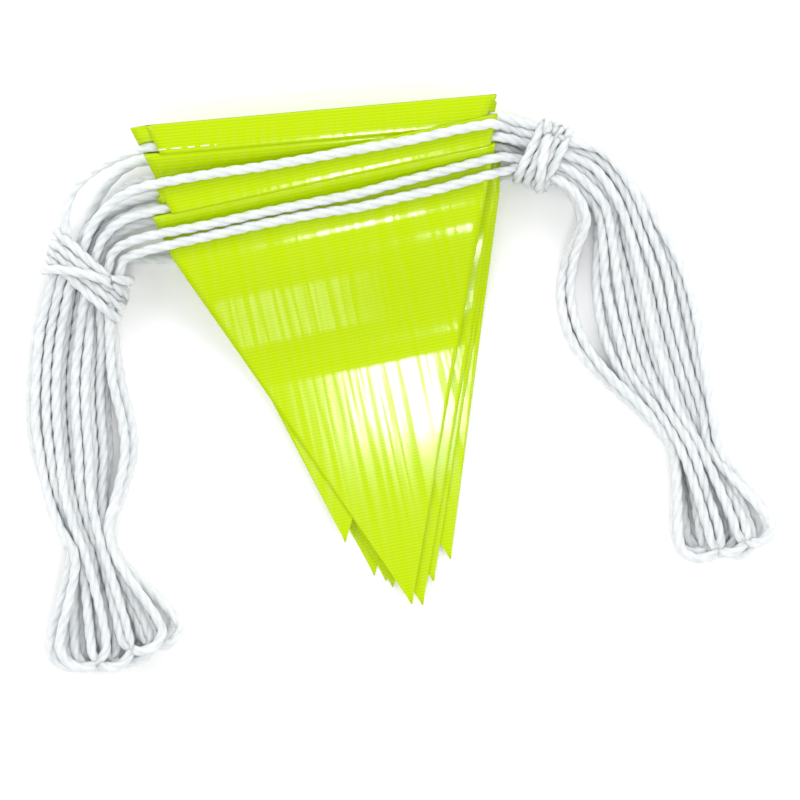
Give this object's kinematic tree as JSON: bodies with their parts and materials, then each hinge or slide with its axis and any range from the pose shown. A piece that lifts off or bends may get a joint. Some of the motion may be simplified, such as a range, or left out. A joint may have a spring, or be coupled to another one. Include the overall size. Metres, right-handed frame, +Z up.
{
  "type": "pennant line bundle",
  "caption": "Bundle of fluorescent triangular safety pennants on a white twisted rope, lying flat, with the rope tied into a hank at each side.",
  "frame": {"origin": "centre of the bounding box in plan, on the ground the bundle lies on", "axes": "+X along the hems towards the right hank, +Y from the pennants' tips towards the hems, +Z up off the ground"},
  "size_m": [0.4722, 0.3602, 0.0421],
  "materials": {
    "pennant plastic": "semi-gloss coated plastic fabric, fluorescent yellow-green",
    "white rope": "white three-strand twisted polypropylene rope with a soft sheen"
  },
  "bodies": {
    "bundle": {"pennant_1_hem": "pennant plastic", "pennant_2_hem": "pennant plastic", "pennant_3_hem": "pennant plastic", "pennant_4_hem": "pennant plastic", "pennant_5_hem": "pennant plastic", "pennant_6_hem": "pennant plastic", "pennant_7_hem": "pennant plastic", "pennant_8_hem": "pennant plastic", "rope_in_hem_1": "white rope", "rope_in_hem_2": "white rope", "rope_in_hem_3": "white rope", "rope_in_hem_4": "white rope", "rope_in_hem_5": "white rope", "rope_in_hem_6": "white rope", "rope_in_hem_7": "white rope", "rope_in_hem_8": "white rope", "front_strand_upper": "white rope", "front_strand_middle": "white rope", "front_strand_lower": "white rope", "back_strand": "white rope", "left_rope_end": "white rope", "right_rope_end": "white rope", "left_rope_fan": "white rope", "right_rope_fan": "white rope", "left_neck": "white rope", "right_neck": "white rope", "left_tie": "white rope", "right_tie": "white rope"},
    "pennant_1_panel": {"pennant_1_panel": "pennant plastic"},
    "pennant_2_panel": {"pennant_2_panel": "pennant plastic"},
    "pennant_3_panel": {"pennant_3_panel": "pennant plastic"},
    "pennant_4_panel": {"pennant_4_panel": "pennant plastic"},
    "pennant_5_panel": {"pennant_5_panel": "pennant plastic"},
    "pennant_6_panel": {"pennant_6_panel": "pennant plastic"},
    "pennant_7_panel": {"pennant_7_panel": "pennant plastic"},
    "pennant_8_panel": {"pennant_8_panel": "pennant plastic"},
    "left_hank": {"left_hank": "white rope"},
    "right_hank": {"right_hank": "white rope"}
  },
  "joints": [
    {"name": "pennant_1_bend", "type": "hinge", "parent": "bundle", "child": "pennant_1_panel", "pos_m": [-0.03567, 0.10064, 0.0071], "axis": [-0.9789, -0.2045, 0], "range_deg": [0, 6.6]},
    {"name": "pennant_2_bend", "type": "hinge", "parent": "bundle", "child": "pennant_2_panel", "pos_m": [-0.03323, 0.10115, 0.0081], "axis": [-0.9789, -0.2045, 0], "range_deg": [0, 13.2]},
    {"name": "pennant_3_bend", "type": "hinge", "parent": "bundle", "child": "pennant_3_panel", "pos_m": [-0.03405, 0.10098, 0.0091], "axis": [-0.9789, -0.2045, 0], "range_deg": [0, 19.8]},
    {"name": "pennant_4_bend", "type": "hinge", "parent": "bundle", "child": "pennant_4_panel", "pos_m": [-0.0207, 0.10377, 0.017], "axis": [-0.9789, -0.2045, 0], "range_deg": [0, 26.4]},
    {"name": "pennant_5_bend", "type": "hinge", "parent": "bundle", "child": "pennant_5_panel", "pos_m": [-0.02946, 0.10194, 0.018], "axis": [-0.9789, -0.2045, 0], "range_deg": [0, 33]},
    {"name": "pennant_6_bend", "type": "hinge", "parent": "bundle", "child": "pennant_6_panel", "pos_m": [-0.03761, 0.10024, 0.019], "axis": [-0.9789, -0.2045, 0], "range_deg": [0, 39.6]},
    {"name": "pennant_7_bend", "type": "hinge", "parent": "bundle", "child": "pennant_7_panel", "pos_m": [-0.04808, 0.09805, 0.0269], "axis": [-0.9789, -0.2045, 0], "range_deg": [0, 46.2]},
    {"name": "pennant_8_bend", "type": "hinge", "parent": "bundle", "child": "pennant_8_panel", "pos_m": [-0.04399, 0.0989, 0.0279], "axis": [-0.9789, -0.2045, 0], "range_deg": [0, 110]},
    {"name": "left_hank_swing", "type": "hinge", "parent": "bundle", "child": "left_hank", "pos_m": [-0.2074, 0.03011, 0.012], "axis": [0, 0, 1], "range_deg": [-15, 20]},
    {"name": "right_hank_swing", "type": "hinge", "parent": "bundle", "child": "right_hank", "pos_m": [0.12157, 0.1342, 0.012], "axis": [0, 0, 1], "range_deg": [-20, 15]}
  ],
  "couplings": [
    {"joint": "pennant_1_bend", "follows": "pennant_8_bend", "ratio": 0.06},
    {"joint": "pennant_2_bend", "follows": "pennant_8_bend", "ratio": 0.12},
    {"joint": "pennant_3_bend", "follows": "pennant_8_bend", "ratio": 0.18},
    {"joint": "pennant_4_bend", "follows": "pennant_8_bend", "ratio": 0.24},
    {"joint": "pennant_5_bend", "follows": "pennant_8_bend", "ratio": 0.3},
    {"joint": "pennant_6_bend", "follows": "pennant_8_bend", "ratio": 0.36},
    {"joint": "pennant_7_bend", "follows": "pennant_8_bend", "ratio": 0.42}
  ]
}
